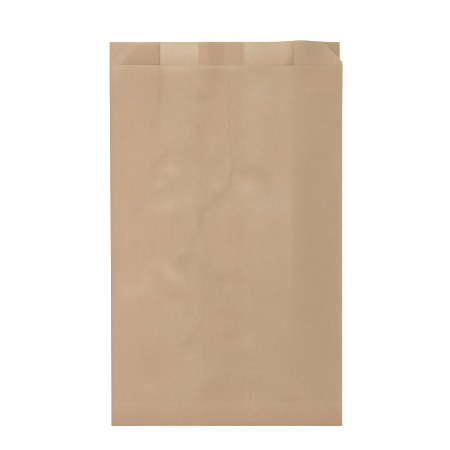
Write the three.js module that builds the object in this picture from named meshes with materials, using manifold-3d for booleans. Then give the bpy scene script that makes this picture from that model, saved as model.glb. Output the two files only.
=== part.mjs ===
// Flat V-bottom paper bag: one kraft web, cut with a stepped knife, folded
// into a tube with two side gussets, pasted along the back and pasted at the
// bottom. The bag lies on its back, mouth towards +Y, front panel up.
// Millimetres, +Z up; the origin is under the middle of the bag.

import * as THREE from 'three';
import { mergeVertices } from 'three/addons/utils/BufferGeometryUtils.js';
import Module from 'manifold-3d';

// Driving dimensions of the folded bag

const bagWidth = 200; // over the two side folds
const bagLength = 332; // bottom fold to the back panel's top edge
const gussetDepth = 43; // side fold to the gusset's inner fold
const lipDepth = 21; // how far the front panel stops short of the back panel
const slantWidth = 16; // the slanted cut across each gusset's front leaf
const paper = 0.08; // thickness of the web
const creaseRadius = 0.1; // of the paper's mid line in a pressed fold
const backEdgeGap = 3; // bottom fold to the cut end of the back panel

// Back seam

const seamEdgeX = 15.5; // free edge of the seam's inner ply
const seamLap = 38.2; // overlap of the two plies
const seamGlueWidth = 10.7; // pasted strip inside the lap
const seamGlueInset = 9.9; // strip to the outer ply's free edge
const seamGlueEnd = 2; // strip to the cut ends of the plies

// Paste at the bottom

const flapGlueMargin = 1.5; // paste to the flap's cut edge and to the back panel's
const flapGlueSide = 28; // paste to the side folds

// How far the unfilled bag stands open

const mouthRise = 8; // opening of each gusset at the top edge
const risePower = 1.2; // how evenly the gussets open from bottom to mouth
const frontDome = 5; // crown of the front panel over its side folds

// Clearances

const glueFilm = 0.02; // paste between two plies
const seamStep = 2; // run of the inner ply's step over the outer ply's edge
const edgeClearance = 0.5; // a step starts this far from the edge under it
const flapStep = 3; // run of the back panel's step over the flap's edge
const cornerMargin = 2; // level ground beside the slanted corner plies
const cornerRun = 6; // run from there down to the middle of the flap

// Facets

const foldSteps = 4; // in each side or gusset fold
const bendSteps = 5; // in the bottom fold
const domeSteps = 5; // from the middle of the front panel to each flank
const lengthSteps = 11; // from the flap's step to the lip

// Sizes that follow

const panelEdge = ( bagWidth - paper ) / 2 - creaseRadius;
const leafWidth = gussetDepth - 2 * creaseRadius - paper;
const backLevel = paper / 2;
const stackHeight = 6 * creaseRadius;
const seamRise = paper + glueFilm;
const middleLift = paper + glueFilm;
const cornerLift = middleLift + 2 * creaseRadius;
const bendLength = Math.PI * ( middleLift + stackHeight ) / 2;
const flapLength = lipDepth - bendLength - backEdgeGap;
const seamOuterX = seamEdgeX - seamLap;
const cornerTop = bagWidth / 2 - slantWidth - cornerMargin;
const cornerFoot = cornerTop - cornerRun;

// The web's cut ends, measured from the bottom fold: the knife leaves the
// front panel as far short at the mouth as it reaches past the back at the foot

const backCut = { from: backEdgeGap, to: bagLength };
const frontCut = { from: backCut.from - lipDepth, to: backCut.to - lipDepth };

// The mid line of the folded web across the bag: straight leaves joined by
// pressed folds, walked with the bag's inside on the left

class FoldWalk {

	constructor( x, height ) {

		this.path = new THREE.CurvePath();
		this.point = new THREE.Vector2( x, height );
		this.heading = 0;

	}

	left() {

		return new THREE.Vector2( - Math.sin( this.heading ), Math.cos( this.heading ) );

	}

	straight( length ) {

		const along = new THREE.Vector2( Math.cos( this.heading ), Math.sin( this.heading ) );
		const end = this.point.clone().addScaledVector( along, length );
		this.path.add( new THREE.LineCurve( this.point, end ) );
		this.point = end;
		return this;

	}

	fold( angle ) {

		const side = Math.sign( angle );
		const centre = this.point.clone().addScaledVector( this.left(), side * creaseRadius );
		const start = this.heading - side * Math.PI / 2;
		const arc = new THREE.EllipseCurve(
			centre.x, centre.y, creaseRadius, creaseRadius, start, start + angle, side < 0
		);
		this.path.add( arc );
		this.point = arc.getPoint( 1 );
		this.heading += angle;
		return this;

	}

	gusset( tilt ) {

		return this.fold( Math.PI - tilt )
			.straight( leafWidth )
			.fold( 2 * tilt - Math.PI )
			.straight( leafWidth )
			.fold( Math.PI - tilt );

	}

}

// The walk's leaves and folds, in order. Back panel and seam come first and
// last, and the first half is the bag's right side

const OUTER_BACK = 0;
const RIGHT_BACK_LEAF = 2;
const RIGHT_FRONT_LEAF = 4;
const FRONT = 6;
const LEFT_FRONT_LEAF = 8;
const LEFT_BACK_LEAF = 10;
const INNER_BACK = 12;

function openness( v ) {

	return THREE.MathUtils.clamp( v / bagLength, 0, 1 );

}

function sectionAt( v ) {

	const rise = mouthRise * openness( v ) ** risePower;
	const tilt = Math.asin( rise / ( 2 * leafWidth ) );
	return new FoldWalk( seamOuterX, backLevel )
		.straight( panelEdge - seamOuterX )
		.gusset( tilt )
		.straight( 2 * panelEdge )
		.gusset( tilt )
		.straight( seamEdgeX + panelEdge )
		.path;

}

// Heights added to the flat section

function domeHeight( column, v ) {

	const crown = frontDome * Math.sin( Math.PI * openness( v ) );
	return column.curve === FRONT ? crown * Math.sin( Math.PI * column.at ) : 0;

}

function seamHeight( column, x ) {

	const stepEnd = seamOuterX - edgeClearance;
	const climbed = THREE.MathUtils.clamp( ( x - stepEnd + seamStep ) / seamStep, 0, 1 );
	return column.curve === INNER_BACK ? seamRise * climbed : 0;

}

function flapLift( x, v ) {

	const outward = ( Math.abs( x ) - cornerFoot ) / cornerRun;
	const full = THREE.MathUtils.lerp(
		middleLift, cornerLift, THREE.MathUtils.clamp( outward, 0, 1 )
	);
	const past = ( v - flapLength - edgeClearance ) / flapStep;
	return full * ( 1 - THREE.MathUtils.clamp( past, 0, 1 ) );

}

// Turns what hangs below the bottom fold round under the bag, so that the
// front panel's end lies on the ground as the flap

function bendUnder( x, height, v ) {

	const centre = ( flapLift( x, 0 ) + stackHeight ) / 2 + backLevel;
	const angle = Math.PI * Math.min( - v / bendLength, 1 );
	const radius = height - centre;
	const past = Math.max( - v - bendLength, 0 );
	return new THREE.Vector3(
		x,
		past - radius * Math.sin( angle ),
		centre + radius * Math.cos( angle )
	);

}

// A point of the web: its column across, its station v along, and how far
// it lies off the mid line towards the bag's inside

const sections = new Map();

function place( column, v, inward ) {

	if ( ! sections.has( v ) ) sections.set( v, sectionAt( v ) );
	const curve = sections.get( v ).curves[ column.curve ];
	const tangent = curve.getTangent( column.at );
	const spot = curve.getPoint( column.at );
	const x = spot.x - tangent.y * inward;
	const flat = spot.y + tangent.x * inward;
	const height = flat + domeHeight( column, v ) + seamHeight( column, spot.x ) + flapLift( x, v );
	return v < 0 ? bendUnder( x, height, v ) : new THREE.Vector3( x, v, height );

}

// Columns of the web, each with the knife's cut at its two ends

function column( curve, at, cut = backCut ) {

	return { curve, at, from: cut.from, to: cut.to };

}

function foldColumns( curve, cut = backCut ) {

	const steps = Array.from( { length: foldSteps - 1 }, ( _, i ) => ( i + 1 ) / foldSteps );
	return steps.map( ( at ) => column( curve, at, cut ) );

}

// Both edges of the rise at the bag's corners are columns in every ply, so
// that the plies stay nested there

const cornerXs = [ cornerTop, cornerFoot ];

function slantCut( distance ) {

	const share = THREE.MathUtils.clamp( distance / slantWidth, 0, 1 );
	return {
		from: THREE.MathUtils.lerp( frontCut.from, backCut.from, share ),
		to: THREE.MathUtils.lerp( frontCut.to, backCut.to, share )
	};

}

function frontLeafColumns( curve ) {

	const crossed = stations.filter( ( v ) => v > frontCut.from && v < backCut.from );
	const slant = crossed.map( ( v ) => slantWidth * ( v - frontCut.from ) / lipDepth );
	const corners = cornerXs.map( ( x ) => panelEdge - x );
	return [ 0, ...slant, slantWidth, ...corners, leafWidth ]
		.map( ( d ) => column( curve, d / leafWidth, slantCut( d ) ) );

}

function backLeafColumns( curve ) {

	return [ 0, ...cornerXs.map( ( x ) => panelEdge - x ), leafWidth ]
		.map( ( d ) => column( curve, d / leafWidth ) );

}

function mirrored( columns, curve ) {

	return columns.map( ( c ) => ( { ...c, curve, at: 1 - c.at } ) ).reverse();

}

function frontColumns() {

	const half = cornerFoot / domeSteps;
	const inner = Array.from( { length: 2 * domeSteps + 1 }, ( _, i ) => cornerFoot - i * half );
	return [ panelEdge, cornerTop, ...inner, - cornerTop, - panelEdge ]
		.map( ( x ) => column( FRONT, ( panelEdge - x ) / ( 2 * panelEdge ), frontCut ) );

}

function outerBackColumns() {

	const length = panelEdge - seamOuterX;
	return [ seamOuterX, seamEdgeX, cornerFoot, cornerTop, panelEdge ]
		.map( ( x ) => column( OUTER_BACK, ( x - seamOuterX ) / length ) );

}

function innerBackColumns() {

	const length = seamEdgeX + panelEdge;
	const stepEnd = seamOuterX - edgeClearance;
	return [ - panelEdge, - cornerTop, - cornerFoot, stepEnd - seamStep, stepEnd, seamEdgeX ]
		.map( ( x ) => column( INNER_BACK, ( x + panelEdge ) / length ) );

}

function webColumns() {

	const rightFront = frontLeafColumns( RIGHT_FRONT_LEAF );
	const rightBack = backLeafColumns( RIGHT_BACK_LEAF );
	return [
		...outerBackColumns(),
		...foldColumns( RIGHT_BACK_LEAF - 1 ),
		...rightBack,
		...foldColumns( RIGHT_FRONT_LEAF - 1 ),
		...mirrored( rightFront, RIGHT_FRONT_LEAF ),
		...foldColumns( FRONT - 1, frontCut ),
		...frontColumns(),
		...foldColumns( FRONT + 1, frontCut ),
		...frontLeafColumns( LEFT_FRONT_LEAF ),
		...foldColumns( LEFT_BACK_LEAF - 1 ),
		...mirrored( rightBack, LEFT_BACK_LEAF ),
		...foldColumns( INNER_BACK - 1 ),
		...innerBackColumns()
	];

}

// Stations along the web: flap, bottom fold, the step over the flap's edge,
// then evenly up to the front panel's lip and on to the back panel's edge

function webStations() {

	const bend = Array.from( { length: bendSteps + 1 }, ( _, i ) => bendLength * ( i / bendSteps - 1 ) );
	const stepStart = flapLength + edgeClearance;
	const stepEnd = stepStart + flapStep;
	const spacing = ( frontCut.to - stepEnd ) / lengthSteps;
	const body = Array.from( { length: lengthSteps + 1 }, ( _, i ) => stepEnd + i * spacing );
	return [ frontCut.from, ...bend, backCut.from, stepStart, ...body, backCut.to ];

}

const stations = webStations();

// A plate of the folded web between two faces: a box with a facet line at
// each column and station, cut by the knife and then folded

function foldedPlate( columns, rows, outerFace, innerFace ) {

	const across = columns.length - 1;
	const along = rows.length - 1;
	const geometry = new THREE.BoxGeometry( 1, 1, 1, across, along, 1 ).translate( 0.5, 0.5, 0.5 );
	matchDiagonals( geometry );
	geometry.deleteAttribute( 'normal' );
	geometry.deleteAttribute( 'uv' );
	const position = geometry.attributes.position;
	for ( let i = 0; i < position.count; i ++ ) {

		const here = columns[ Math.round( position.getX( i ) * across ) ];
		const row = rows[ Math.round( position.getY( i ) * along ) ];
		const v = THREE.MathUtils.clamp( row, here.from, here.to );
		const point = place( here, v, position.getZ( i ) < 0.5 ? outerFace : innerFace );
		position.setXYZ( i, point.x, point.y, point.z );

	}

	return withoutSlivers( mergeVertices( geometry ) );

}

// A box splits the cells of its two large faces along opposite diagonals. The
// far face takes those of the near one, so that the paper keeps its thickness

const farFace = 5;

function matchDiagonals( geometry ) {

	const { start, count } = geometry.groups[ farFace ];
	const index = geometry.index;
	for ( let i = start; i < start + count; i += 6 ) {

		const [ a, b, c, d ] = [ 0, 1, 4, 5 ].map( ( k ) => index.getX( i + k ) );
		[ a, b, c, a, c, d ].forEach( ( vertex, k ) => index.setX( i + k, vertex ) );

	}

}

// Cells that lie wholly beyond the knife's cut have no area left

function withoutSlivers( geometry ) {

	const index = geometry.index.array;
	const kept = [];
	for ( let i = 0; i < index.length; i += 3 ) {

		const [ a, b, c ] = index.subarray( i, i + 3 );
		if ( a !== b && b !== c && c !== a ) kept.push( a, b, c );

	}

	return geometry.setIndex( kept );

}

// Paste strips, each reaching a quarter of a ply into the paper on both sides

function trimmed( rows, from, to ) {

	return [ from, ...rows.filter( ( v ) => v > from && v < to ), to ];

}

function seamGlue() {

	const length = panelEdge - seamOuterX;
	const edges = [ seamGlueInset, seamGlueInset + seamGlueWidth ];
	const columns = edges.map( ( d ) => column( OUTER_BACK, d / length ) );
	const rows = trimmed( stations, backCut.from + seamGlueEnd, backCut.to - seamGlueEnd );
	return foldedPlate( columns, rows, paper / 4, seamRise - paper / 4 );

}

function flapGlue() {

	const reach = bagWidth / 2 - flapGlueSide;
	const columns = [ reach, - reach ]
		.map( ( x ) => column( FRONT, ( panelEdge - x ) / ( 2 * panelEdge ), frontCut ) );
	const from = frontCut.from + flapGlueMargin;
	const to = - bendLength - backEdgeGap - flapGlueMargin;
	return foldedPlate( columns, [ from, to ], paper / 4, middleLift - paper / 4 );

}

// Joining

const wasm = await Module();
wasm.setup();

function solidFrom( geometry ) {

	return new wasm.Manifold( new wasm.Mesh( {
		numProp: 3,
		vertProperties: new Float32Array( geometry.attributes.position.array ),
		triVerts: new Uint32Array( geometry.index.array )
	} ) );

}

function geometryFrom( solid ) {

	const mesh = solid.getMesh();
	const geometry = new THREE.BufferGeometry();
	geometry.setAttribute( 'position', new THREE.BufferAttribute( mesh.vertProperties, 3 ) );
	geometry.setIndex( new THREE.BufferAttribute( mesh.triVerts, 1 ) );
	geometry.computeVertexNormals();
	return geometry;

}

function paperBag() {

	const web = solidFrom( foldedPlate( webColumns(), stations, - paper / 2, paper / 2 ) );
	const pasted = web.add( solidFrom( seamGlue() ) ).add( solidFrom( flapGlue() ) );
	const kraft = new THREE.MeshStandardMaterial( { color: 0xc2a487, roughness: 0.9, metalness: 0 } );
	const mesh = new THREE.Mesh( geometryFrom( pasted ), kraft );
	const { min, max } = new THREE.Box3().setFromObject( mesh );
	mesh.name = 'paper_bag';
	mesh.position.set( - ( min.x + max.x ) / 2, - ( min.y + max.y ) / 2, - min.z );
	return mesh;

}

const bag = new THREE.Group();
bag.add( paperBag() );

export default bag;
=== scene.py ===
"""A flat kraft paper bag with side gussets, lying on its back with its mouth ajar."""

import math

import bmesh
import bpy
import numpy as np
from bpy.props import FloatProperty, FloatVectorProperty, PointerProperty
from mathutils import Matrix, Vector, noise


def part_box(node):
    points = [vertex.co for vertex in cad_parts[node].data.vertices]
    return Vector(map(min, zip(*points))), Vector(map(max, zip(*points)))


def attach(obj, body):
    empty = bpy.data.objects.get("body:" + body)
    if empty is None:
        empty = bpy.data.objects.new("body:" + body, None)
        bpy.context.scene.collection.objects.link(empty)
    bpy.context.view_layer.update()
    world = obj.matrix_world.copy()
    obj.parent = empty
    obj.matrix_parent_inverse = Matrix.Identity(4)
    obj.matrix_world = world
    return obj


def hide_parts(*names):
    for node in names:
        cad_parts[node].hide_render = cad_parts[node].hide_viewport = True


bl_info = {
    "name": "Gusseted Paper Bag",
    "version": (1, 0, 0),
    "blender": (4, 5, 0),
    "location": "View3D > Sidebar > Paper Bag",
    "description": "Folds a kraft paper bag from one web and sets it on a studio table",
    "category": "Add Mesh",
}

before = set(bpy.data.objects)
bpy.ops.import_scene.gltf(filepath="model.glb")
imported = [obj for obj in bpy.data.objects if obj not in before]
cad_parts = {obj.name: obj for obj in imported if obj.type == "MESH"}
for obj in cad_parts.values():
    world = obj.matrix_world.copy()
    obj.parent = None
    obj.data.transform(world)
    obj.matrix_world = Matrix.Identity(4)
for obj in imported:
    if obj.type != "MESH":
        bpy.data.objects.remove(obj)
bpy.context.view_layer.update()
BAG_LOW, BAG_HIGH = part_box("paper_bag")

MM = 0.001
RIGHT = 1
LEFT = -1

# How far the bottom fold reaches out past the line where its bend starts, and
# the part of each gusset's opening that lies below its inner fold

BEND_BULGE = 0.466 * MM
RIGHT_SHARE = 0.5
LEFT_SHARE = 0.08

# Mesh lines beside a fold or a cut edge, and two more before the mouth's edge,
# all measured from that edge, then those of the two sharpest creases, which are
# in millimetres from the middle

CLOSE = (0, 0.4 * MM, 1.2 * MM)
BEFORE_END = (3.6 * MM, 2.4 * MM)
CREASED = (-58.2, -57.4, -56.6, 1, 1.8, 2.6, 3.4, 4.2, 5.2)

# Where a ply steps down past the end of another: the room left beside that end
# and the length of the step, at the flap, at the seam and at the flap's corners

FLAP_ROOM, FLAP_STEP = 0.5 * MM, 3 * MM
SEAM_ROOM, SEAM_STEP = 0.5 * MM, 2 * MM
CORNER_ROOM, CORNER_STEP = 2 * MM, 6 * MM

# Strip of paste inside the seam, from the outer ply's edge, and how far the edges
# of a strip or ply that shows through the paper are blurred

PASTE_START, PASTE_END = 9.9 * MM, 20.6 * MM
CRISP = 0.4 * MM

# Gaps between the front and back panels: the least one, and the one at the lip

REST_GAP = 0.25 * MM
LIP_GAP = 0.35 * MM

# Towards the mouth: the stations between which the plies bend, how high they arch
# off the table, and how far in from the slanted cut the leaf and the curl stay flat

MOUTH_BEND = (240 * MM, 300 * MM)
ARCH = 1.6 * MM
LEAF_FLAT = 7.5 * MM
CURL_FLAT = 9.5 * MM

# Drift to the side at the mouth: an amount in the middle and its change across,
# the mean of both panels, and how the front panel spreads further by its lip

BACK_DRIFT = (-1.855 * MM, -0.0031)
FRONT_DRIFT = (-0.56 * MM, 0.0056)
MEAN_DRIFT = -1.2 * MM
FLARE = 0.0015
HALF_WIDTH = 100 * MM

# Unevenness of the front panel: how wide its waves are across and along, a seed
# for the noise, and how high they are in millimetres

WAVES = (
    (0.045, 0.06, 3.1, 0.3),
    (0.017, 0.02, 8.7, 0.25),
    (0.008, 0.009, 1.3, 0.24),
)

# Hump of the plies beside the right gusset, and how far the mouth's edges run on
# or fall short: place, half widths, turn and amount, all in millimetres but the
# turn in degrees. Places count from the middle and from the bottom fold

HUMP = (64, 337, 11, 17, 0, 5.2)
EDGE_RUNS = (
    (65, 332, 8, 14, 0, 0.4),
    (-76, 332, 12, 9, 0, -0.6),
    (-72, 311, 14, 6, 0, 0.45),
)

# Bumps and dents of the front panel: place, half widths, turn and height

DENTS = (
    (-45, 217, 6, 5, 0, 0.45),
    (-46, 186, 9, 6, 0, 0.6),
    (18, 202, 7, 5, 0, 0.5),
    (22, 217, 9, 5, 0, -0.5),
    (-43, 127, 10, 6, -42, 0.6),
    (-36, 88, 13, 15, 0, 0.8),
    (-18, 42, 12, 12, 30, 0.5),
    (15, 70, 6, 5, 0, 0.4),
    (-86, 258, 7, 9, 0, 0.5),
    (-73, 113, 12, 6, 0, 0.4),
    (-5, 205, 5, 5, 0, 0.25),
    (-20, 252, 7, 8, 0, -0.5),
    (31, 283, 8, 10, 0, 0.4),
    (-48, 248, 9, 10, 0, 0.4),
    (3, 128, 10, 5, 0, -0.4),
)

# Creases: the points of a path with the paper high on its right hand, and the
# drop to its left hand

CREASES = (
    (((-57.3, 316), (-57, 290), (-57.5, 266)), 0.2),
    (((2.3, 297), (2.6, 283), (2.5, 252), (3.4, 236), (4.8, 220)), 0.2),
    (((4.8, 220), (3, 208), (-3, 201), (-10, 195), (-17, 188)), 0.38),
    (((-22.5, 181), (-23, 170), (-29, 160)), 0.3),
    (((-47, 240), (-63, 225.5)), 0.27),
    (((-12, 226), (-37, 236)), 0.3),
    (((57.5, 203), (58, 160), (58, 120)), 0.3),
    (((-20, 115), (-20, 92), (-27, 82), (-38, 70)), 0.45),
    (((-10, 42), (-28, 18)), 0.3),
    (((-94, 19), (94, 17)), 0.22),
)

# Patches of painted light and shade on the front panel, where its dents and creases catch or lose
# the light, and where it clings to or stands free of the plies below: place, half widths, turn and
# how much denser they look

LIGHT_AND_SHADE_PATCHES = (
    (-48, 221, 4, 3.5, 0, -0.3),
    (-57, 209, 3.5, 2.5, 0, -0.25),
    (-50, 190, 9, 5, 0, -0.3),
    (-31, 195, 6, 4.5, 20, -0.2),
    (-7, 208, 3.5, 3.5, 0, -0.13),
    (16, 205, 6, 4.5, 0, -0.24),
    (35, 190, 20, 9, 0, -0.14),
    (23, 243, 5, 17, 0, -0.1),
    (30, 287, 7, 11, 0, -0.18),
    (-48, 250, 8, 10, 0, -0.15),
    (-32, 256, 4, 5, 0, -0.15),
    (-47, 131, 11, 4, -42, -0.35),
    (-73, 117, 12, 4, 0, -0.2),
    (-70, 128, 3, 3, 0, -0.2),
    (-44, 90, 15, 13, 0, -0.1),
    (17, 73, 5, 4, 20, -0.25),
    (-38, 40, 12, 14, 0, -0.1),
    (-67, 33, 4, 3, 0, -0.2),
    (-8, 46, 6, 6, 0, -0.12),
    (-30, 60, 5, 3, 0, -0.15),
    (-43, 310, 10, 4, 0, -0.4),
    (-97, 309, 6, 7, 0, -0.2),
    (45, 200, 40, 60, 0, -0.1),
    (-10, 302, 5, 8, 0, 0.4),
    (-19, 284, 6, 2.4, 0, 0.35),
    (-54, 232, 9, 3, 40, 0.12),
    (-24, 232, 13, 4.5, -20, 0.15),
    (-22, 257, 6, 7, 0, 0.2),
    (-7, 198, 6, 3, 35, 0.15),
    (-23, 177, 2.5, 6, 0, 0.15),
    (-62, 258, 4, 9, 0, 0.15),
    (23, 220, 9, 4, -15, 0.25),
    (34, 214, 4, 7, 0, 0.2),
    (28, 311, 9, 4, 0, 0.25),
    (44, 235, 3, 5, 0, 0.15),
    (68, 190, 6, 40, 0, 0.1),
    (-38, 143, 8, 4, 20, 0.22),
    (-20, 137, 3, 6, 0, 0.2),
    (3, 127, 10, 3.5, 0, 0.2),
    (-46, 115, 8, 4, -20, 0.15),
    (4, 95, 10, 4, 0, 0.14),
    (5, 76, 7, 4, 0, 0.12),
    (-12, 30, 9, 6, 35, 0.15),
    (-64, 55, 9, 12, 0, 0.1),
    (56, 24, 4, 3, 0, 0.2),
    (-78, 160, 15, 110, 0, 0.05),
    (-22, 282, 14, 20, 0, 0.04),
)


# How dense each part looks before its marks, from 0 for a single ply

FRONT_COVER = 0.81
FRONT_LEAF_COVER = {LEFT: 0.77, RIGHT: 0.78}
# The right rear leaf's 1.3 is painted shadow, where the right front leaf shades it
REAR_LEAF_COVER_AND_SHADOW = {LEFT: 0.84, RIGHT: 1.3}
FOLD_COVER = 0.85

# Shade of the folds: dark above 0, light below

SIDE_FOLD_SHADE = {LEFT: 0.8, RIGHT: -0.5}
INNER_FOLD_SHADE = 0.35

# Grain of the paper, across and along the web

CLOUDS = (0.02, 0.026, 1.0)
TINT = (0.022, 0.03, 1.0)
FORMATION = (0.0028, 0.0040, 1.0)
STREAKS = (0.0007, 0.012, 1.0)
STRANDS = (0.0003, 0.0035, 1.0)

# Studio: place and size of each softbox, where the camera hangs over the table,
# half the table's width and its gap under the bag

NEAR_BOX = ((-0.8, -0.05, 0.75), 0.7)
FAR_BOX = ((-0.7, 1.8, 1.9), 1.4)
CAMERA_SPOT = (-1.55 * MM, 7.7 * MM)
TABLE_HALF = 3.0
TABLE_GAP = 0.02 * MM

# Points of the mesh that are closer than this are one point

TOUCHING = 1e-7


# Settings


class BagSizes(bpy.types.PropertyGroup):
    """Sizes of the folded bag."""

    width: FloatProperty(
        name="Width", description="Over the two side folds",
        default=BAG_HIGH.x - BAG_LOW.x, unit="LENGTH")
    length: FloatProperty(
        name="Length", description="Bottom fold to the back panel's top edge",
        default=332 * MM, unit="LENGTH")
    gusset: FloatProperty(
        name="Gusset", description="Side fold to the gusset's inner fold",
        default=43 * MM, unit="LENGTH")
    off_middle: FloatProperty(
        name="Off Middle", description="How much deeper the left gusset is than the mean",
        default=0.2 * MM, unit="LENGTH")
    lip: FloatProperty(
        name="Lip", description="How far the front panel stops short of the back panel",
        default=21 * MM, unit="LENGTH")
    slant: FloatProperty(
        name="Slant", description="Width of the slanted cut across a gusset's front leaf",
        default=16 * MM, unit="LENGTH")
    late_cut: FloatProperty(
        name="Late Cut", description="Lip to the start of the right leaf's slanted cut",
        default=3.3 * MM, unit="LENGTH")
    wide_cut: FloatProperty(
        name="Wide Cut", description="How much wider the right leaf's slanted cut is at the mouth",
        default=1.1 * MM, unit="LENGTH")
    paper: FloatProperty(
        name="Paper", description="Thickness of the web", default=0.08 * MM, unit="LENGTH")
    crease: FloatProperty(
        name="Crease", description="Radius of a pressed fold", default=0.1 * MM, unit="LENGTH")
    bottom_gap: FloatProperty(
        name="Bottom Gap", description="Bottom fold to the cut end of the back panel",
        default=3 * MM, unit="LENGTH")
    seam_edge: FloatProperty(
        name="Seam Edge", description="Free edge of the seam's inner ply, from the middle",
        default=15.5 * MM, unit="LENGTH")
    seam_lap: FloatProperty(
        name="Seam Lap", description="Overlap of the seam's two plies",
        default=38.2 * MM, unit="LENGTH")
    paste_film: FloatProperty(
        name="Paste Film", description="Paste between two plies", default=0.02 * MM, unit="LENGTH")
    rise_right: FloatProperty(
        name="Right Rise", description="Opening of the right gusset at the mouth",
        default=0.3 * MM, unit="LENGTH")
    rise_left: FloatProperty(
        name="Left Rise", description="Opening of the left gusset at the mouth",
        default=0.3 * MM, unit="LENGTH")
    curl: FloatProperty(
        name="Curl", description="Lift of the mouth's left corner", default=1.7 * MM, unit="LENGTH")
    plateau_left: FloatProperty(
        name="Left Plateau",
        description="Front panel over the left gusset's inner fold, halfway up",
        default=4.6 * MM, unit="LENGTH")
    plateau_right: FloatProperty(
        name="Right Plateau",
        description="Front panel over the right gusset's inner fold, halfway up",
        default=4.9 * MM, unit="LENGTH")
    cell: FloatProperty(
        name="Cell", description="Spacing of the mesh on the front panel",
        default=2.2 * MM, unit="LENGTH")


class PaperLook(bpy.types.PropertyGroup):
    """Colours of the kraft paper."""

    kraft: FloatVectorProperty(
        name="Kraft", description="Several plies seen together", subtype="COLOR",
        default=(0.347, 0.231, 0.141), min=0, max=1)
    # Pasted also gives the painted shade where the cover goes above 1, under the lip and in the
    # corner
    pasted: FloatVectorProperty(
        name="Pasted", description="Plies pressed or pasted together", subtype="COLOR",
        default=(0.288, 0.192, 0.119), min=0, max=1)
    thin: FloatVectorProperty(
        name="Thin", description="A single ply with light behind it", subtype="COLOR",
        default=(0.425, 0.331, 0.228), min=0, max=1)
    fibre: FloatVectorProperty(
        name="Fibre", description="Dark fibres in the paper", subtype="COLOR",
        default=(0.26, 0.165, 0.095), min=0, max=1)
    # Edge is the colour of the painted highlight along the cut edges
    edge: FloatVectorProperty(
        name="Edge", description="Paper along a cut edge", subtype="COLOR",
        default=(0.42, 0.305, 0.2), min=0, max=1)


class StageLook(bpy.types.PropertyGroup):
    """Table, light and camera."""

    height: FloatProperty(
        name="Camera Height", description="Above the table", default=1.05, unit="LENGTH")
    lens: FloatProperty(
        name="Lens", description="Focal length", default=97.16, subtype="DISTANCE_CAMERA")
    glow: FloatProperty(
        name="Glow", description="Strength of the light under the translucent table top",
        default=0.7)
    key: FloatProperty(
        name="Key", description="Strength of the near softbox on the left",
        default=7.4, unit="POWER")
    top: FloatProperty(
        name="Top", description="Strength of the far softbox beyond the mouth",
        default=36.0, unit="POWER")
    sky: FloatProperty(
        name="Sky", description="Strength of the light all round", default=0.732)


# Web of the bag: columns run along it, stations across


class Column:
    """A line along the web: the part it lies in, how far into it, and where the knife cut it."""

    def __init__(self, part, side, reach, low, high):
        self.part = part
        self.side = side
        self.reach = reach
        self.low = low
        self.high = high


def spread(start, end, spacing):
    """Evenly spaced values between two ends, which are left out."""
    count = max(1, round(abs(end - start) / spacing))
    return [start + (end - start) * i / count for i in range(1, count)]


def ramp(x, start, length):
    """Rises evenly from 0 at start to 1 a length further."""
    return np.clip((x - start) / length, 0, 1)


def ease(x, start, end):
    """Rises smoothly from 0 at start to 1 at end."""
    t = ramp(x, start, end - start)
    return t * t * (3 - 2 * t)


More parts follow.
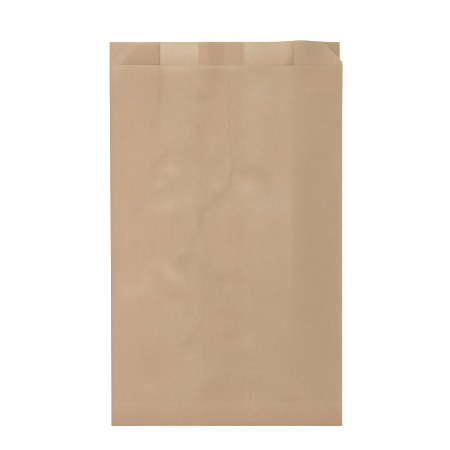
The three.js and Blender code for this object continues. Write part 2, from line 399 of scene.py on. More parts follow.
class Web:
    """The flat web and the place of each of its points once it is folded."""

    def __init__(self, sizes):
        self.sizes = sizes
        s = sizes
        self.edge = (s.width - s.paper) / 2 - s.crease
        self.leaf = s.gusset - 2 * s.crease - s.paper
        self.back = s.paper / 2
        self.stack = 6 * s.crease
        self.ply = s.paper + s.paste_film
        self.corner = self.ply + 2 * s.crease
        self.bend = math.pi * (self.ply + self.stack) / 2
        self.low_back = s.bottom_gap
        self.low_front = s.bottom_gap - s.lip
        self.high_back = s.length
        self.high_front = s.length - s.lip
        self.flap = -self.low_front - self.bend
        self.seam_outer = s.seam_edge - s.seam_lap

    # Mesh lines

    def creases(self, part, side, low, high, forward):
        """Columns round a pressed fold."""
        steps = [0.2, 0.4, 0.6, 0.8]
        steps = steps if forward else steps[::-1]
        return [Column(part, side, at, low, high) for at in steps]

    def leaf_width(self, side):
        """Width of a leaf between the bends at its two folds."""
        return self.leaf - side * self.sizes.off_middle

    def leaf_reaches(self, side, spacing):
        """Distances of a leaf's columns from its outer fold."""
        far = [self.leaf_width(side) - d for d in CLOSE[::-1]]
        return [*CLOSE, *spread(CLOSE[-1], far[0], spacing), *far]

    def top_slant(self, side):
        """Width of a front leaf's slanted cut at the mouth, and where it starts."""
        s = self.sizes
        return (s.slant + s.wide_cut, s.late_cut) if side == RIGHT else (s.slant, 0.0)

    def slant_cut(self, side, reach):
        """Stations of the knife's cuts through a front leaf, at the bottom and at the mouth."""
        share = min(reach / self.sizes.slant, 1)
        low = self.low_front + share * (self.low_back - self.low_front)
        width, late = self.top_slant(side)
        start = self.high_front + late
        return low, start + min(reach / width, 1) * (self.high_back - start)

    def front_leaf(self, side, outward):
        """Columns of a gusset's front leaf, which the knife cut at a slant at both ends."""
        reaches = set(self.leaf_reaches(side, self.sizes.cell * 1.1))
        step = self.low_back - self.low_front
        for v in self.bend_stations():
            reaches.add(self.sizes.slant * (v - self.low_front) / step)
        reaches |= {self.sizes.slant, self.top_slant(side)[0]}
        columns = [Column("front_leaf", side, r, *self.slant_cut(side, r)) for r in sorted(reaches)]
        return columns[::-1] if outward else columns

    def rear_leaf(self, side, outward):
        """Columns of a gusset's rear leaf."""
        reaches = self.leaf_reaches(side, self.sizes.cell * 1.5)
        columns = [Column("rear_leaf", side, r, self.low_back, self.high_back) for r in reaches]
        return columns[::-1] if outward else columns

    def front_panel(self):
        """Columns of the front panel, closer beside its folds and along its sharpest creases."""
        close = [self.edge - d for d in CLOSE]
        middle = spread(close[-1], -close[-1], self.sizes.cell)
        creased = [x * MM for x in CREASED]
        clear = [x for x in middle if min(abs(x - c) for c in creased) > 0.5 * MM]
        xs = close + sorted(clear + creased, reverse=True) + [-x for x in close[::-1]]
        return [Column("front", RIGHT, x, self.low_front, self.high_front) for x in xs]

    def back_panel(self, part, start, end):
        """Columns of one of the two plies that meet in the back panel's seam."""
        near = [start + d for d in CLOSE]
        far = [end - d for d in CLOSE[::-1]]
        xs = set(near + far + spread(near[-1], far[0], self.sizes.cell * 1.5))
        if part == "back_inner":
            step = self.seam_outer - SEAM_ROOM
            xs |= {step, step - SEAM_STEP}
        return [Column(part, RIGHT, x, self.low_back, self.high_back) for x in sorted(xs)]

    def columns(self):
        """All columns, from the seam's outer ply round the bag to its inner ply."""
        back, front = (self.low_back, self.high_back), (self.low_front, self.high_front)
        return [
            *self.back_panel("back_outer", self.seam_outer, self.edge),
            *self.creases("rear_crease", RIGHT, *back, True),
            *self.rear_leaf(RIGHT, False),
            *self.creases("inner_crease", RIGHT, *back, True),
            *self.front_leaf(RIGHT, True),
            *self.creases("front_crease", RIGHT, *front, True),
            *self.front_panel(),
            *self.creases("front_crease", LEFT, *front, False),
            *self.front_leaf(LEFT, False),
            *self.creases("inner_crease", LEFT, *back, False),
            *self.rear_leaf(LEFT, True),
            *self.creases("rear_crease", LEFT, *back, False),
            *self.back_panel("back_inner", -self.edge, self.sizes.seam_edge),
        ]

    def bend_stations(self):
        """Stations round the bottom fold."""
        return [self.bend * (i / 6 - 1) for i in range(7)]

    def stations(self):
        """Distances of the mesh lines across the web from the bottom fold."""
        s = self.sizes
        step_start = self.flap + FLAP_ROOM
        step = [step_start, step_start + FLAP_STEP / 2, step_start + FLAP_STEP]
        flap = spread(self.low_front, -self.bend, s.cell)
        foot = [self.low_back, *spread(self.low_back, step_start, s.cell)]
        lip = [self.high_front - d for d in CLOSE[::-1]]
        body = spread(step[-1], lip[0], s.cell)
        end = [s.length - d for d in (*BEFORE_END, *CLOSE[::-1])]
        mouth = spread(self.high_front, end[0], s.cell)
        return np.array([
            self.low_front, *flap, *self.bend_stations(), *foot, *step, *body, *lip, *mouth, *end])

    # Folded form

    def rise(self, side, v):
        """Opening of a gusset, which grows towards the mouth."""
        t = ramp(v, 0, self.sizes.length)
        s = self.sizes
        return s.rise_right * t ** 1.5 if side == RIGHT else s.rise_left * t ** 1.2

    def side_level(self, side, v):
        """Level of the front panel at one of its side folds."""
        return self.back + self.stack + self.rise(side, v)

    def cut_reach(self, v):
        """How far the slanted cut at the mouth has come into a front leaf."""
        return self.sizes.slant * ramp(v, self.high_front, self.sizes.lip)

    def front_level(self, x, v):
        """Straight line between the two side folds, over the table."""
        share = ramp(x, -self.edge, 2 * self.edge)
        left, right = self.side_level(LEFT, v), self.side_level(RIGHT, v)
        return left + (right - left) * share

    def section(self, column, v):
        """A column's place across and up at stations v, and its inward direction, both plain."""
        e, r, g = self.edge, self.sizes.crease, self.leaf_width(column.side)
        a = column.reach
        zero, one = np.zeros_like(v), np.ones_like(v)
        if column.part == "front":
            return a * one, self.front_level(a * one, v), zero, -one
        if column.part.startswith("back"):
            return a * one, self.back * one, zero, one
        rise = self.rise(column.side, v)
        open_share = RIGHT_SHARE if column.side == RIGHT else LEFT_SHARE
        low = np.arcsin(rise * open_share / g)
        high = np.arcsin(rise * (1 - open_share) / g)
        rear = (e + r * np.sin(low), self.back + r * (1 + np.cos(low)))
        tip = (rear[0] - g * np.cos(low), rear[1] + g * np.sin(low))
        turn = (tip[0] + r * np.sin(low), tip[1] + r * np.cos(low))
        start = (turn[0] - r * np.sin(high), turn[1] + r * np.cos(high))
        outer = (start[0] + g * np.cos(high), start[1] + g * np.sin(high))
        hub = (outer[0] - r * np.sin(high), outer[1] + r * np.cos(high))
        if column.part == "rear_crease":
            heading = a * (math.pi - low)
            at = (e + r * np.sin(heading), self.back + r - r * np.cos(heading))
        elif column.part == "rear_leaf":
            heading = math.pi - low
            at = (rear[0] - a * np.cos(low), rear[1] + a * np.sin(low))
        elif column.part == "inner_crease":
            heading = (math.pi - low) * (1 - a) + high * a
            at = (turn[0] - r * np.sin(heading), turn[1] + r * np.cos(heading))
        elif column.part == "front_leaf":
            heading = high
            bow = self.leaf_bow(column.side, a, v) * rise
            at = (outer[0] - a * np.cos(high), outer[1] - a * np.sin(high) + bow)
        else:
            heading = high + a * (math.pi - high)
            at = (hub[0] + r * np.sin(heading), hub[1] - r * np.cos(heading))
        return column.side * at[0], at[1], -column.side * np.sin(heading), np.cos(heading)

    def leaf_bow(self, side, reach, v):
        """How a front leaf bends off its plane near the mouth, as a share of the gusset's rise."""
        flat = self.cut_reach(v) + LEAF_FLAT
        near = ease(v, *MOUTH_BEND)
        if side == RIGHT:
            peak = np.exp(-((reach - 36 * MM) / (6 * MM)) ** 2)
            valley = np.exp(-((reach - flat - 4 * MM) / (7 * MM)) ** 2)
            return (0.05 * peak - 0.06 * valley) * near
        width = self.leaf_width(side)
        bent = np.clip(reach - flat, 0, None) / (width - flat)
        return (reach / width - bent) * (1 - LEFT_SHARE) * near

    def seam_height(self, column, x):
        """The seam's inner ply climbs over the outer one."""
        climbed = ramp(x, self.seam_outer - SEAM_ROOM - SEAM_STEP, SEAM_STEP)
        return self.ply * climbed if column.part == "back_inner" else 0 * x

    def flap_lift(self, x, v):
        """The back panel lies over the flap, and higher at the flap's corners."""
        top = self.sizes.width / 2 - self.sizes.slant - CORNER_ROOM
        outward = ramp(np.abs(x), top - CORNER_STEP, CORNER_STEP)
        full = self.ply + (self.corner - self.ply) * outward
        return full * (1 - ramp(v, self.flap + FLAP_ROOM, FLAP_STEP))

    def place(self, column, rows, inward, relief):
        """Places of a column's stations, offset from the mid line towards the bag's inside."""
        v = np.clip(rows, column.low, column.high)
        x, z, across, up = self.section(column, v)
        level = self.front_level(x, v)
        nested = self.back + self.stack / 2
        share = ramp(z, nested, level - nested)
        raised = z + relief.height(x, v) * share + self.seam_height(column, x)
        lean = relief.lean(column, x, v)
        settled = x + lean - relief.drift(v)
        height = raised + up * inward + self.flap_lift(x, v) + relief.lift(settled, v, share)
        x = x + across * inward + lean
        y = v + relief.stretch(x, v)
        under = v < 0
        centre = (self.flap_lift(x, 0 * v) + self.stack) / 2 + self.back
        angle = math.pi * np.clip(-v / self.bend, 0, 1)
        radius = height - centre
        past = np.clip(-v - self.bend, 0, None)
        y[under] = (past - radius * np.sin(angle))[under]
        height[under] = (centre + radius * np.cos(angle))[under]
        return np.stack([x, y + BAG_LOW.y + BEND_BULGE, height], axis=1), v


# Relief of the panels


class Relief:
    """Heights and sideways shifts that handling gave the paper."""

    def __init__(self, web):
        self.web = web

    def height(self, x, v):
        """Height of the front panel over the straight line between its side folds."""
        marks = self.wander(x, v)
        for dent in DENTS:
            marks = marks + mound(x, v, *dent)
        for path, depth in CREASES:
            marks = marks + ledge(x, v, path, depth * MM)
        calm = 1 - ease(np.abs(x), 90 * MM, 99.5 * MM)
        total = (self.plateau(x, v) + self.lip(x, v) + marks * calm) * ease(v, 0, 8 * MM)
        return np.maximum(total, self.contact(x) - self.web.front_level(x, v))

    def contact(self, x):
        """Lowest level of the front panel: on the back panel, or on the folded gussets."""
        inner = self.web.edge - self.web.leaf
        outward = ease(np.abs(x), inner - 6 * MM, inner - 1 * MM)
        return self.web.back + REST_GAP + (self.web.stack - REST_GAP) * outward

    def plateau(self, x, v):
        """The front panel's crown over the bag's inside, lower towards both ends."""
        s = self.web.sizes
        t = ramp(v, 0, s.length)
        rising, falling = ease(t, 0.0, 0.42), ease(t, 0.55, 0.97)
        along = rising * (1 - 0.86 * falling)
        left = s.plateau_left * along - self.web.rise(LEFT, v) * 0.8
        right = s.plateau_right * along - self.web.rise(RIGHT, v) * 0.65
        inner = self.web.edge - self.web.leaf
        flank = 1 - ease(np.abs(x), inner - 3 * MM, self.web.edge + 2 * MM)
        across = ease(x, -inner, inner)
        return np.maximum(left + (right - left) * across, -0.2 * MM) * flank

    def lip(self, x, v):
        """Between the gussets the front panel sinks onto the back panel towards its lip."""
        near = ease(v, self.web.high_front - 50 * MM, self.web.high_front - 6 * MM)
        plain = self.web.front_level(x, v) + self.plateau(x, v)
        drop = plain - self.web.back - LIP_GAP
        trough = ease(x, -68 * MM, -50 * MM) * (1 - ease(x, 34 * MM, 62 * MM))
        return -drop * trough * near

    def lift(self, x, v, share):
        """How the whole stack of plies lifts off the table towards the mouth."""
        middle = 1 - ramp(np.abs(x), 0, HALF_WIDTH) ** 2
        arch = ARCH * ease(v, 230 * MM, 332 * MM) * middle
        hump = mound(x, v, *HUMP) * ease(v, 260 * MM, 300 * MM)
        return arch + hump + self.curl(x, v, share)

    def curl(self, x, v, share):
        """The mouth's left corner bends up; inside it only the front panel stays as high."""
        web = self.web
        ridge = CURL_FLAT + web.cut_reach(v) - web.edge
        inner = web.leaf - web.edge
        down = ramp(x, ridge, inner - ridge)
        spans = 0.2 * share ** 3 * (1 - ease(x, inner - 2 * MM, inner + 14 * MM))
        return web.sizes.curl * ease(v, *MOUTH_BEND) * (1 - down * (1 - spans))

    def wander(self, x, v):
        """Uneven height of paper that has been handled, less at the bottom and on the right."""
        waves = sum(high * noisy(x, v, *wave) for *wave, high in WAVES)
        calm = ease(v, 14 * MM, 60 * MM) * (1 - 0.6 * ease(v, 285 * MM, 311 * MM))
        left = 1 - 0.5 * ease(x, 0 * MM, 60 * MM)
        lower = 1 - 0.4 * ease(v, 110 * MM, 60 * MM)
        return waves * MM * calm * left * lower

    def stretch(self, x, v):
        """How far the mouth's edges run on or fall short, as the plies there bend."""
        return sum(mound(x, v, *run) for run in EDGE_RUNS)

    def askew(self, v):
        """Share of the drift that is reached at each station."""
        return ramp(v, 0, 0.88 * self.web.sizes.length) ** 1.15

    def drift(self, v):
        """Mean sideways drift of the bag towards the mouth."""
        return MEAN_DRIFT * self.askew(v)

    def back_lean(self, x, v):
        """Sideways drift of the back panel."""
        middle, change = BACK_DRIFT
        return (middle + change * x) * self.askew(v)

    def front_lean(self, x, v):
        """Sideways drift of the front panel."""
        middle, change = FRONT_DRIFT
        wider = FLARE * (x + HALF_WIDTH) * ramp(v, 240 * MM, 75 * MM) ** 2
        return (middle + change * x) * self.askew(v) + wider

    def lean(self, column, x, v):
        """Sideways drift of a ply: the back's, the front's with its leaves, or between them."""
        fold = column.side * self.web.edge
        if column.part == "front":
            return self.front_lean(x, v)
        if column.part.startswith("back"):
            return self.back_lean(x, v)
        share = {"rear_crease": 0, "rear_leaf": column.reach / self.web.leaf_width(column.side)}
        rear = self.back_lean(fold, v)
        return rear + (self.front_lean(fold, v) - rear) * share.get(column.part, 1)


def noisy(x, v, wide, tall, seed):
    """Smooth noise with waves of the given width across and along the bag."""
    places = zip(x.ravel() / wide, v.ravel() / tall)
    return np.array([noise.noise((a, b, seed)) for a, b in places]).reshape(x.shape)


def mound(x, v, at_x, at_v, wide, tall, turn, rise):
    """A rounded bump or dent, its numbers as in the tables of marks."""
    cos, sin = math.cos(math.radians(turn)), math.sin(math.radians(turn))
    dx, dv = x / MM - at_x, v / MM - at_v
    along = (dx * cos + dv * sin) / wide
    across = (dv * cos - dx * sin) / tall
    return rise * MM * np.exp(-0.5 * (along ** 2 + across ** 2))


def ledge(x, v, path, depth):
    """A crease down a path: high on its right hand, with a sharp drop to its left hand."""
    best = np.full(x.shape, 1e9)
    signed = np.zeros(x.shape)
    for (ax, av), (bx, bv) in zip(path, path[1:]):
        dx, dv = (bx - ax) * MM, (bv - av) * MM
        long = math.hypot(dx, dv)
        px, pv = x - ax * MM, v - av * MM
        at = np.clip((px * dx + pv * dv) / long ** 2, 0, 1)
        off = np.hypot(px - at * dx, pv - at * dv)
        side = (pv * dx - px * dv) / long
        nearer = off < best
        best = np.where(nearer, off, best)
        signed = np.where(nearer, -side, signed)
    beyond = np.sqrt(np.clip(best ** 2 - signed ** 2, 0, None))
    ends = np.exp(-(beyond / (5 * MM)) ** 2)
    away = np.exp(-np.clip(signed, 0, None) / (9 * MM))
    return depth * ease(signed, -0.9 * MM, 0.9 * MM) * away * ends


# Mesh


def grid_faces(columns, rows, start, flip):
    """Triangles of one face of the web, whose vertices run station by station up each column."""
    faces = []
    for i in range(columns - 1):
        for j in range(rows - 1):
            a = start + i * rows + j
            b = a + rows
            for corners in ((a, b, b + 1), (a, b + 1, a + 1)):
                faces.append(corners[::-1] if flip else corners)
    return faces


def rim_faces(columns, rows, other):
    """Quads of the cut edges, between the two faces of the web."""
    faces = []
    for i in range(columns - 1):
        low, high = i * rows, i * rows + rows - 1
        faces.append((low + other, low + rows + other, low + rows, low))
        faces.append((high, high + rows, high + rows + other, high + other))
    last = (columns - 1) * rows
    for j in range(rows - 1):
        faces.append((j, j + 1, j + 1 + other, j + other))
        faces.append((last + j + other, last + j + 1 + other, last + j + 1, last + j))
    return faces


def web_mesh(web, relief):
    """The folded web as one closed mesh with its flat coordinates as an attribute."""
    columns, rows = web.columns(), web.stations()
    vertices, flat = [], []
    for side in (-1, 1):
        across = 0.0
        last = None
        for column in columns:
            points, v = web.place(column, rows, side * web.sizes.paper / 2, relief)
            if last is not None:
                across += float(np.linalg.norm(points[len(rows) // 2] - last))
            last = points[len(rows) // 2]
            vertices.append(points)
            flat.append(np.stack([np.full(len(rows), across), v, np.full(len(rows), side)], axis=1))
    count = len(columns) * len(rows)
    faces = grid_faces(len(columns), len(rows), 0, True)
    faces += grid_faces(len(columns), len(rows), count, False)
    faces += rim_faces(len(columns), len(rows), count)
    mesh = bpy.data.meshes.new("paper_web")
    mesh.from_pydata(np.concatenate(vertices).tolist(), [], faces)
    values = np.concatenate(flat)
    mesh.attributes.new("web", "FLOAT_VECTOR", "POINT").data.foreach_set("vector", values.ravel())
    paint = shades(web, columns, rows)
    for name, amounts in paint.items():
        mesh.attributes.new(name, "FLOAT", "POINT").data.foreach_set("value", np.tile(amounts, 2))
    return mesh


def weld(mesh):
    """Joins the points that the knife's cut brought together, and keeps the cut edges crisp."""
    work = bmesh.new()
    work.from_mesh(mesh)
    bmesh.ops.remove_doubles(work, verts=work.verts, dist=TOUCHING)
    web = work.verts.layers.float_vector["web"]
    for edge in work.edges:
        sides = {round(v[web].z) for face in edge.link_faces for v in face.verts}
        rim = any(len({round(v[web].z) for v in face.verts}) > 1 for face in edge.link_faces)
        edge.smooth = not (rim and len(sides) > 1)
    for face in work.faces:
        face.smooth = True
    work.to_mesh(mesh)
    work.free()


# Painted amounts


def shades(web, columns, rows):
    """How many plies back each point, with painted shade; nearness to a cut edge and a fold, for
    painted light and shade.
    """
    cover_and_shade, edge, fold = [], [], []
    for column in columns:
        v = np.clip(rows, column.low, column.high)
        x, _, _, _ = web.section(column, v)
        cover_and_shade.append(ply_cover(web, column, x, v))
        edge.append(cut_highlight(column, x, v))
        fold.append(fold_nearness(web, column, x, v))
    return {
        "cover_and_shade": np.concatenate(cover_and_shade), "cut": np.concatenate(edge), "fold": np.concatenate(fold)}


def ply_cover(web, column, x, v):
    """How dense the plies look, with painted shade: 0 for a single ply, 1 for the whole bag, above
    1 if pasted or shaded.
    """
    s = web.sizes
    inner = web.edge - web.leaf
    if column.part == "front":
        high = ease(v, 60 * MM, 220 * MM)
        gusset = ease(np.abs(x), inner - 5 * MM, inner + 5 * MM) * (0.04 + 0.05 * high)
        seam = ease(x, web.seam_outer - 4 * MM, web.seam_outer + 4 * MM)
        seam = seam * (1 - ease(x, s.seam_edge - 4 * MM, s.seam_edge + 4 * MM)) * 0.06
        bottom = (1 - ease(v, 7 * MM, 16 * MM)) * 0.15 + (1 - ease(v, 60 * MM, 150 * MM)) * 0.02
        # Painted light and shade of the front panel's dents and creases, from the patches
        marks = sum(mound(x, v, *patch) for patch in LIGHT_AND_SHADE_PATCHES) / MM
        return FRONT_COVER + gusset + seam + bottom + marks
    if column.part == "front_leaf" and column.side == LEFT:
        return left_leaf_shade(web, column, v)
    if column.part == "front_leaf":
        # Painted light along the right leaf's slanted cut, fading inwards
        inside = np.clip(column.reach - web.cut_reach(v), 0, None)
        return FRONT_LEAF_COVER[RIGHT] - 0.3 * np.exp(-inside / (5 * MM))
    if column.part.endswith("crease"):
        return FOLD_COVER * np.ones_like(v)
    if column.part == "rear_leaf":
        # Painted shadow on the right rear leaf
        return REAR_LEAF_COVER_AND_SHADOW[column.side] * np.ones_like(v)
    # Back panel: painted shade, darker to the right and towards and under the lip, the seam
    # likewise
    right = ease(x, 10 * MM, 45 * MM)
    below = 1 - ease(v, web.high_front - 3 * MM, s.length - 4 * MM)
    single = 0.02 + 0.43 * right + (0.6 - 0.32 * right) * below
    seam = ease(x, web.seam_outer - CRISP, web.seam_outer)
    seam = seam * (1 - ease(x, s.seam_edge, s.seam_edge + CRISP))
    start, end = web.seam_outer + PASTE_START, web.seam_outer + PASTE_END
    paste = ease(x, start - CRISP, start + CRISP) * (1 - ease(x, end - CRISP, end + CRISP))
    pasted = (0.78 + 0.1 * below) * seam + 0.38 * paste
    # Darker band left of the right gusset's inner fold: the ply edge under it, and painted shadow
    ply_and_shadow_band = ease(x, inner - 3 * MM, inner - 1 * MM) * (0.9 + 1.2 * below ** 2)
    return np.maximum(np.maximum(pasted, single), ply_and_shadow_band)


def left_leaf_shade(web, column, v):
    """Left gusset's front leaf, painted: pale by its slanted cut and top edge, shaded under the lip
    and inner fold.
    """
    start, stop = (web.sizes.length - d for d in BEFORE_END)
    end = ease(v, start, stop)
    inside = ease(column.reach - web.cut_reach(v), 8 * MM, 11 * MM) * (1 - end)
    rim = end * ease(column.reach, 20 * MM, 26 * MM)
    lip = np.exp(-np.clip(v - web.high_front, 0, None) / (6 * MM))
    fold = ease(column.reach, web.leaf - 6 * MM, web.leaf + 1 * MM)
    # Painted shade under the lip and by the inner fold, painted light along the top edge
    return FRONT_LEAF_COVER[LEFT] - 0.2 * rim + inside * (0.1 + 0.7 * lip + 0.15 * fold)


def cut_highlight(column, x, v):
    """Painted highlight along the paper's cut ends, fading with distance from them and weaker in
    places.
    """
    near = np.exp(-np.minimum(v - column.low, column.high - v) / (2 * MM))
    if column.part == "front":
        left = 0.25 + 0.55 * ease(x, -95 * MM, -88 * MM)
        right = 1 - 0.55 * ease(x, 10 * MM, 50 * MM)
        return near * left * right
    if column.side == RIGHT or column.part.startswith("back"):
        return near * 0.45
    slanted = column.part == "front_leaf" and column.reach < 15.9 * MM
    return near * (0.1 if slanted else 0.7)


def fold_nearness(web, column, x, v):
    """Painted shade and light at the folds: dark on the left, inner folds and bottom, light on the
    right.
    """
    bottom = 0.55 * np.exp(-np.clip(v, 0, None) / (1.5 * MM))
    if column.part == "front_crease":
        return np.full_like(v, SIDE_FOLD_SHADE[column.side])
    if column.part.endswith("crease"):
        return np.full_like(v, INNER_FOLD_SHADE)
    if column.part.endswith("leaf"):
        near = min(column.reach, web.leaf_width(column.side) - column.reach)
        return INNER_FOLD_SHADE * math.exp(-near / (0.6 * MM)) * np.ones_like(v)
    near = np.exp(-(web.edge - np.abs(x)) / (1.4 * MM))
    shade = np.where(x < 0, SIDE_FOLD_SHADE[LEFT], SIDE_FOLD_SHADE[RIGHT])
    return shade * near + bottom


# Node maths


class Wire:
    """An output of a node, with arithmetic that adds Math nodes."""

    def __init__(self, recipe, socket):
        self.recipe = recipe
        self.socket = socket

    def maths(self, operation, *values):
        return self.recipe.node("ShaderNodeMath", {"operation": operation}, dict(enumerate(values)))

    def __add__(self, other):
        return self.maths("ADD", self, other)

    def __radd__(self, other):
        return self.maths("ADD", other, self)

    def __sub__(self, other):
        return self.maths("SUBTRACT", self, other)

    def __rsub__(self, other):
        return self.maths("SUBTRACT", other, self)

    def __mul__(self, other):
        return self.maths("MULTIPLY", self, other)

    def __rmul__(self, other):
        return self.maths("MULTIPLY", other, self)


class Recipe:
    """Builds a material's nodes."""

    def __init__(self, name):
        self.material = bpy.data.materials.new(name)
        self.material.use_nodes = True
        self.tree = self.material.node_tree
        self.tree.nodes.clear()

    def node(self, kind, settings=None, inputs=None, output=0):
        """Adds a node and returns one of its outputs, if it has any."""
        made = self.tree.nodes.new(kind)
        for key, value in (settings or {}).items():
            setattr(made, key, value)
        for key, value in (inputs or {}).items():
            if isinstance(value, Wire):
                self.tree.links.new(value.socket, made.inputs[key])
            else:
                made.inputs[key].default_value = value
        return Wire(self, made.outputs[output]) if made.outputs else None

    def mix(self, share, first, second):
        """Mixes two colours."""
        return self.node("ShaderNodeMix", {"data_type": "RGBA"}, {0: share, 6: first, 7: second}, 2)

    def grain(self, place, size, detail=2.0, rough=0.5):
        """Noise of a given size in metres along each axis, from 0 to 1."""
        scaled = self.node(
            "ShaderNodeVectorMath", {"operation": "DIVIDE"}, {0: place, 1: size})
        return self.node(
            "ShaderNodeTexNoise", {"noise_dimensions": "3D"},
            {"Vector": scaled, "Scale": 1.0, "Detail": detail, "Roughness": rough})

    def shifted(self, place, step):
        """Moves a place, so that one noise differs from another."""
        return self.node(
            "ShaderNodeVectorMath", {"operation": "ADD"}, {0: place, 1: (step, step, step)})

    def band(self, value, low, high):
        """Turns a value into 0 below low and 1 above high."""
        return self.node(
            "ShaderNodeMapRange", {"interpolation_type": "SMOOTHSTEP"},
            {"Value": value, "From Min": low, "From Max": high})

    def finish(self, **inputs):
        """Ends in a Principled shader with the given sockets."""
        named = {key.replace("_", " "): value for key, value in inputs.items()}
        shader = self.node("ShaderNodeBsdfPrincipled", None, named)
        self.node("ShaderNodeOutputMaterial", None, {"Surface": shader})
        return self.material


def opaque(colour):
    """A colour with an alpha of 1."""
    return (*colour, 1.0)


def kraft_paper(look):
    """Machine-smooth kraft paper: long fibres, cloudy formation, lighter where one ply glows,
    painted light and shade.
    """
    r = Recipe("kraft_paper")
    place = r.node("ShaderNodeAttribute", {"attribute_name": "web"}, None, 1)
    cover_and_shade = r.node("ShaderNodeAttribute", {"attribute_name": "cover_and_shade"}, None, 2)
    cut = r.node("ShaderNodeAttribute", {"attribute_name": "cut"}, None, 2)
    fold = r.node("ShaderNodeAttribute", {"attribute_name": "fold"}, None, 2)
    clouds = r.grain(place, CLOUDS, 3.0)
    tint = r.grain(r.shifted(place, 0.4), TINT, 2.0)
    formation = r.grain(place, FORMATION, 3.0)
    streaks = r.grain(place, STREAKS, 2.0)
    strands = r.grain(place, STRANDS, 1.0)
    dark = r.band(strands, 0.62, 0.74) * 0.2
    open_plies = r.mix(cover_and_shade, opaque(look.thin), opaque(look.kraft))
    # Above 1 the cover is paste or painted shade, mixed towards the pasted colour
    plain = r.mix(cover_and_shade - 1.0, open_plies, opaque(look.pasted))
    along = r.node("ShaderNodeSeparateXYZ", None, {0: place}, 1)
    cool = r.band(tint, 0.3, 0.7) * (0.35 + 0.65 * r.band(along, 0.04, 0.17))
    hue = r.mix(cool, opaque((1.015, 0.99, 0.99)), opaque((0.988, 1.006, 1.008)))
    tinted = r.node("ShaderNodeVectorMath", {"operation": "MULTIPLY"}, {0: plain, 1: hue})
    tone = (clouds - 0.5) * 0.09 + (formation - 0.5) * 0.16 + (streaks - 0.5) * 0.04 + 1.0
    shaded = r.node("ShaderNodeVectorMath", {"operation": "SCALE"}, {0: tinted, "Scale": tone})
    fibred = r.mix(dark, shaded, opaque(look.fibre))
    # Painted highlight along the cut edges
    cut_highlighted = r.mix(cut, fibred, opaque(look.edge))
    # Painted shade along the left side fold, the inner folds and the bottom fold
    pressed = r.mix(fold * 0.5, cut_highlighted, opaque(look.fibre))
    # Lighter along the right side fold
    fold_lightened = r.mix(fold * -0.5, pressed, opaque(look.thin))
    relief = formation * 0.5 + streaks * 0.8 + strands * 0.4
    bump = r.node("ShaderNodeBump", None, {"Strength": 0.2, "Distance": 0.00006, "Height": relief})
    rough = 0.72 + (formation - 0.5) * 0.2
    return r.finish(
        Base_Color=fold_lightened, Roughness=rough, Normal=bump, Specular_IOR_Level=0.3)


def table_top(glow):
    """Matt white sheet, lit from below."""
    r = Recipe("table_top")
    place = r.node("ShaderNodeTexCoord", None, None, 3)
    mottle = r.grain(place, (0.05, 0.05, 0.05), 2.0)
    colour = r.mix(mottle, opaque((0.88, 0.88, 0.88)), opaque((0.92, 0.92, 0.92)))
    flat = r.node("ShaderNodeBump", None, {"Strength": 0.02, "Distance": 0.0001, "Height": mottle})
    return r.finish(
        Base_Color=colour, Roughness=0.8 + mottle * 0.1, Normal=flat, Specular_IOR_Level=0.2,
        Emission_Color=opaque((1.0, 1.0, 1.0)), Emission_Strength=glow)


# Operators


class PAPERBAG_OT_bag(bpy.types.Operator):
    """Fold the bag from its web and give it its paper"""

    bl_idname = "paperbag.bag"
    bl_label = "Paper Bag"

    def execute(self, context):
        web = Web(context.scene.bag_sizes)
        mesh = web_mesh(web, Relief(web))
        weld(mesh)
        bag = bpy.data.objects.new("kraft_bag", mesh)
        context.collection.objects.link(bag)
        mesh.materials.append(kraft_paper(context.scene.paper_look))
        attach(bag, "root")
        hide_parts("paper_bag")
        return {"FINISHED"}


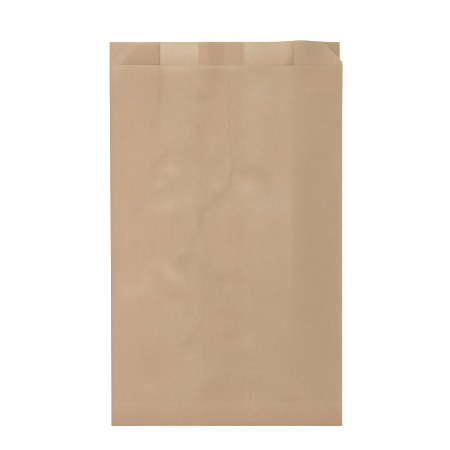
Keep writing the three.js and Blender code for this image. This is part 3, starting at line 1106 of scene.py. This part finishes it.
class PAPERBAG_OT_stage(bpy.types.Operator):
    """Set the table, the two softboxes, the sky and the camera round the bag"""

    bl_idname = "paperbag.stage"
    bl_label = "Stage"

    def execute(self, context):
        look = context.scene.stage_look
        self.table(context, look)
        self.softbox(context, "near_softbox", *NEAR_BOX, look.key)
        self.softbox(context, "far_softbox", *FAR_BOX, look.top)
        self.sky(context, look)
        self.camera(context, look)
        return {"FINISHED"}

    def table(self, context, look):
        mesh = bpy.data.meshes.new("table_top")
        half = TABLE_HALF
        corners = [(-half, -half, 0), (half, -half, 0), (half, half, 0), (-half, half, 0)]
        mesh.from_pydata(corners, [], [(0, 1, 2, 3)])
        mesh.materials.append(table_top(look.glow))
        table = bpy.data.objects.new("table_top", mesh)
        context.collection.objects.link(table)
        table.location.z = BAG_LOW.z - TABLE_GAP

    def softbox(self, context, name, place, size, power):
        light = bpy.data.lights.new(name, "AREA")
        light.shape = "SQUARE"
        light.size = size
        light.energy = power
        box = bpy.data.objects.new(name, light)
        box.location = place
        box.rotation_mode = "QUATERNION"
        box.rotation_quaternion = (-Vector(place)).to_track_quat("-Z", "Y")
        context.collection.objects.link(box)

    def sky(self, context, look):
        world = bpy.data.worlds.new("studio")
        world.use_nodes = True
        world.node_tree.nodes["Background"].inputs["Color"].default_value = (1, 1, 1, 1)
        world.node_tree.nodes["Background"].inputs["Strength"].default_value = look.sky
        context.scene.world = world

    def camera(self, context, look):
        data = bpy.data.cameras.new("camera")
        data.lens = look.lens
        camera = bpy.data.objects.new("camera", data)
        camera.location = (*CAMERA_SPOT, look.height)
        context.collection.objects.link(camera)
        context.scene.camera = camera
        context.scene.view_settings.view_transform = "Standard"


class PAPERBAG_PT_panel(bpy.types.Panel):
    """Lists what builds the bag"""

    bl_label = "Paper Bag"
    bl_idname = "PAPERBAG_PT_panel"
    bl_space_type = "VIEW_3D"
    bl_region_type = "UI"
    bl_category = "Paper Bag"

    def draw(self, context):
        for operator in OPERATORS:
            self.layout.operator(operator.bl_idname)


OPERATORS = (PAPERBAG_OT_bag, PAPERBAG_OT_stage)
GROUPS = {"bag_sizes": BagSizes, "paper_look": PaperLook, "stage_look": StageLook}


def register():
    for cls in (*GROUPS.values(), *OPERATORS, PAPERBAG_PT_panel):
        bpy.utils.register_class(cls)
    for name, group in GROUPS.items():
        setattr(bpy.types.Scene, name, PointerProperty(type=group))


def unregister():
    for name in GROUPS:
        delattr(bpy.types.Scene, name)
    for cls in (PAPERBAG_PT_panel, *OPERATORS[::-1], *reversed(GROUPS.values())):
        bpy.utils.unregister_class(cls)


def main():
    register()
    bpy.ops.paperbag.bag()
    bpy.ops.paperbag.stage()


if __name__ == "__main__":
    main()
